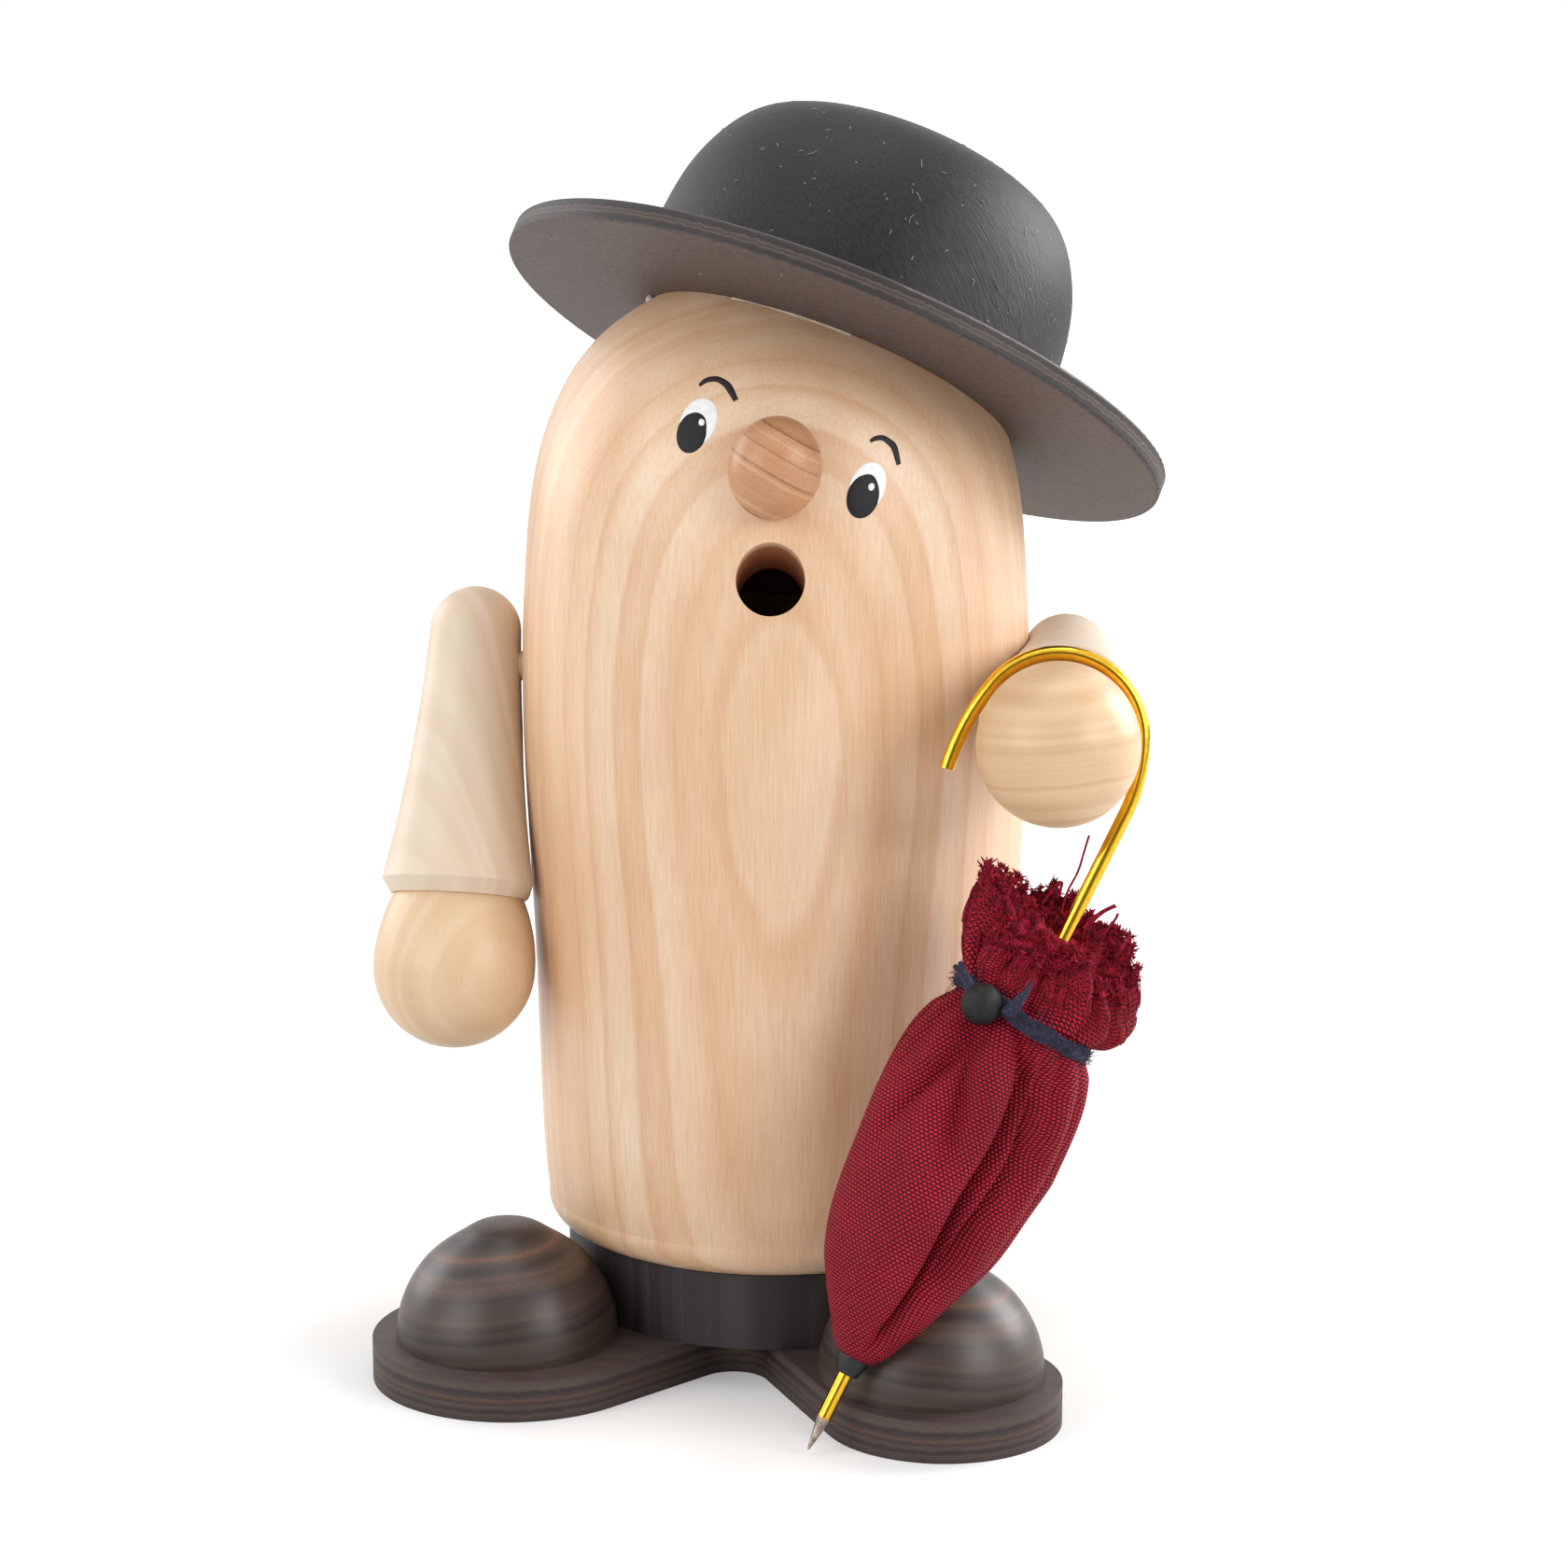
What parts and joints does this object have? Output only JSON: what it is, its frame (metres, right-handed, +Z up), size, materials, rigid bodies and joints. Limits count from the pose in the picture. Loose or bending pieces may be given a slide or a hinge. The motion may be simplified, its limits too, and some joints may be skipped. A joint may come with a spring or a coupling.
{
  "type": "incense smoker",
  "caption": "Turned wooden incense smoker figure with a tilted hat and a hooked umbrella; the figure lifts off its shoe base to set a cone, and smoke leaves by the mouth",
  "frame": {"origin": "on the table, under the axis of the turned body", "axes": "+Z up along the body, -Y the way the face looks, +X to the viewer's right, where the umbrella hangs"},
  "size_m": [0.1065, 0.1085, 0.1683],
  "materials": {
    "dark_plywood": "dark stained plywood",
    "dark_wood": "dark stained and waxed beech",
    "dowel_wood": "plain beech dowel",
    "dish_brass": "pressed sheet brass",
    "body_wood": "clear waxed alder",
    "nose_wood": "clear waxed wood",
    "hand_wood": "clear waxed beech",
    "hat_plywood": "dark grey stained plywood",
    "hat_wood": "dark grey stained wood",
    "wire_brass": "bright brass-coloured wire",
    "black_plastic": "black end cap",
    "umbrella_fabric": "crimson ribbed woven cloth",
    "band_fabric": "dark blue yarn",
    "black_bead": "black painted wooden bead"
  },
  "bodies": {
    "base": {"foot_plate": "dark_plywood", "shoe_left": "dark_wood", "shoe_right": "dark_wood", "shoe_dowel_left": "dowel_wood", "shoe_dowel_right": "dowel_wood", "base_block": "dark_wood", "base_dowel": "dowel_wood", "incense_plate": "dish_brass", "plate_pin": "dish_brass"},
    "figure": {"body": "body_wood", "nose": "nose_wood", "sleeve_left": "body_wood", "sleeve_right": "body_wood", "hand_left": "hand_wood", "hand_right": "hand_wood", "shoulder_dowel_left": "dowel_wood", "shoulder_dowel_right": "dowel_wood", "wrist_dowel_left": "dowel_wood", "wrist_dowel_right": "dowel_wood", "hat_brim": "hat_plywood", "hat_crown": "hat_wood", "hat_dowel": "dowel_wood"},
    "umbrella": {"umbrella_wire": "wire_brass", "umbrella_ferrule": "black_plastic", "umbrella_cloth": "umbrella_fabric", "umbrella_band": "band_fabric", "umbrella_bead": "black_bead"}
  },
  "joints": [
    {"name": "figure_lift", "type": "slide", "parent": "base", "child": "figure", "axis": [0, 0, 1], "range_m": [0, 0.06]},
    {"name": "umbrella_swing", "type": "hinge", "parent": "figure", "child": "umbrella", "pos_m": [0.03598, -0.03473, 0.08973], "axis": [0, 0.9806, -0.1959], "range_deg": [0, 24]}
  ]
}
